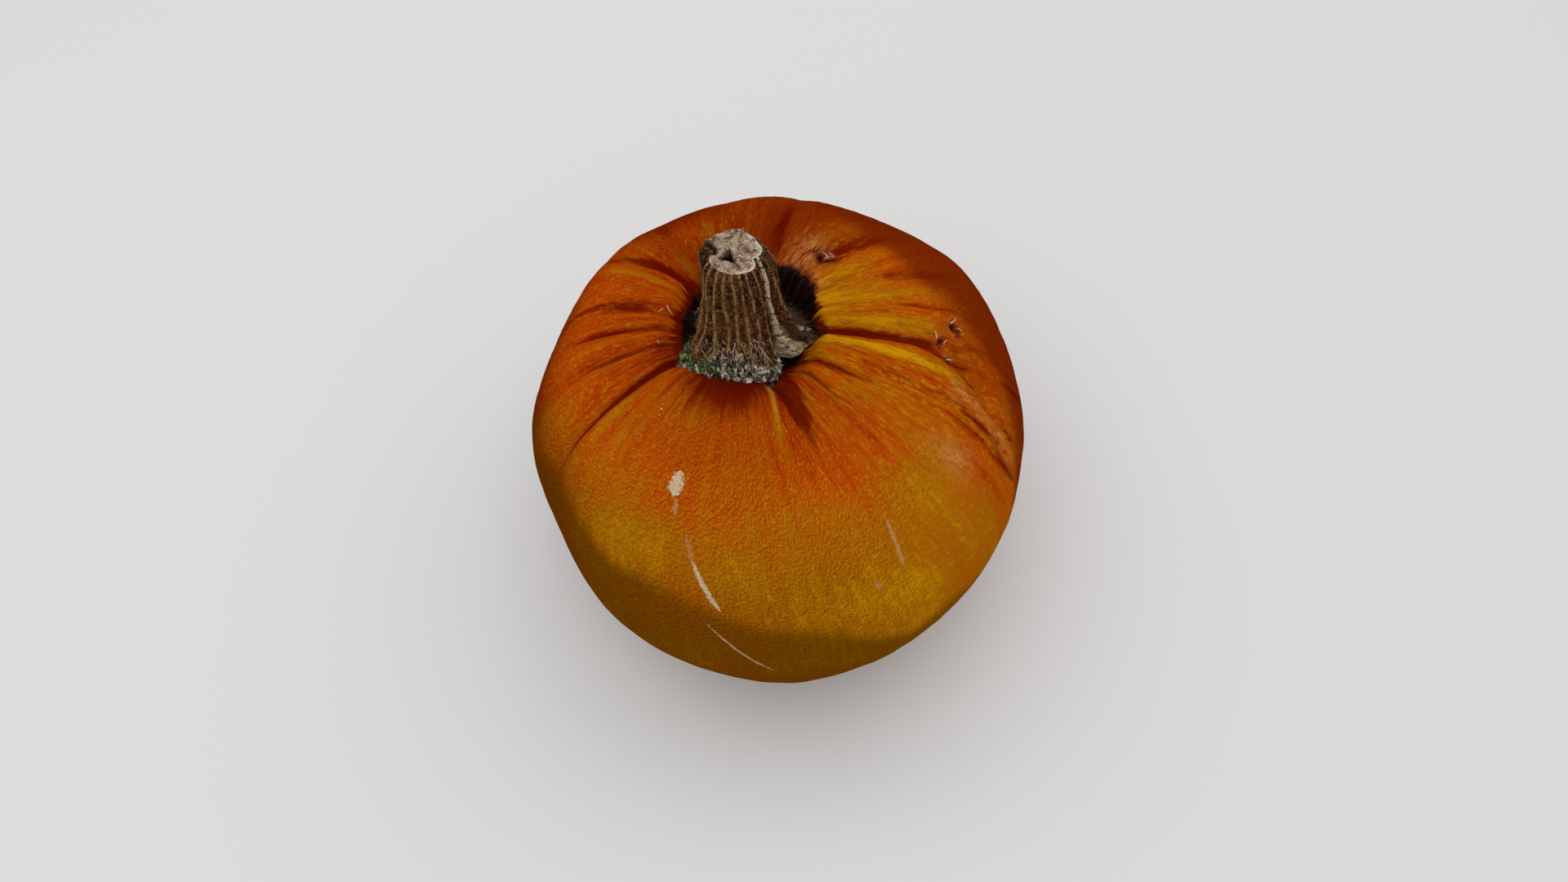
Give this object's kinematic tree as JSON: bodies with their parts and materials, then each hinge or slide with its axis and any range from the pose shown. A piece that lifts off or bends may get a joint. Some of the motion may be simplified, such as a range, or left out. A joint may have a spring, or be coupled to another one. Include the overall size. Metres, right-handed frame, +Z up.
{
  "type": "pumpkin",
  "caption": "Ribbed round orange pumpkin with a sunken crown and a dried, flared stem, resting upright on a small flat spot.",
  "frame": {"origin": "middle of the flat spot that the pumpkin rests on, on the surface under it", "axes": "+Z up along the stem, -Y towards the smooth front, +X to the right"},
  "size_m": [0.1989, 0.2062, 0.1927],
  "materials": {
    "skin": "waxy orange rind, satin, with ochre mottling and red-brown grooves",
    "stem": "dry, matt, ribbed and warty"
  },
  "bodies": {
    "root": {"fruit": "skin", "stem": "stem"}
  },
  "joints": []
}
